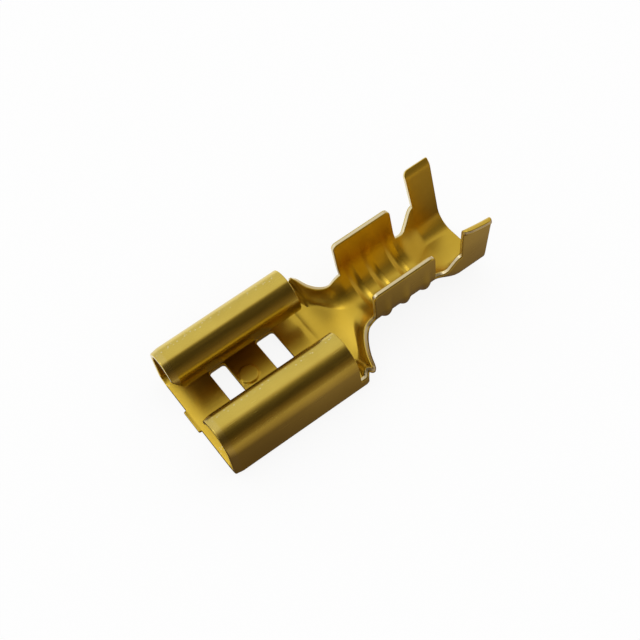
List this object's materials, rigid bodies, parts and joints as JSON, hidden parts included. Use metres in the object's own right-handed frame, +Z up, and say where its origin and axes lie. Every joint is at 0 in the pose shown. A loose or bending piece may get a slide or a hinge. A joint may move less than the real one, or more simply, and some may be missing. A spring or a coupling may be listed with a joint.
{
  "type": "female spade terminal",
  "caption": "Open-barrel female blade receptacle of folded sheet brass, with rolled grips, a serrated wire crimp barrel and an insulation crimp.",
  "frame": {"origin": "centre of the base of the bounding box, on the plane that the receptacle's underside rests on", "axes": "+X along the strip from the mouth to the wire end, +Y across, +Z up from the floor to the rolls"},
  "size_m": [0.0172, 0.0078, 0.0052],
  "materials": {
    "brass": "satin rolled sheet with bright rolled edges"
  },
  "bodies": {
    "root": {"terminal": "brass"}
  },
  "joints": []
}
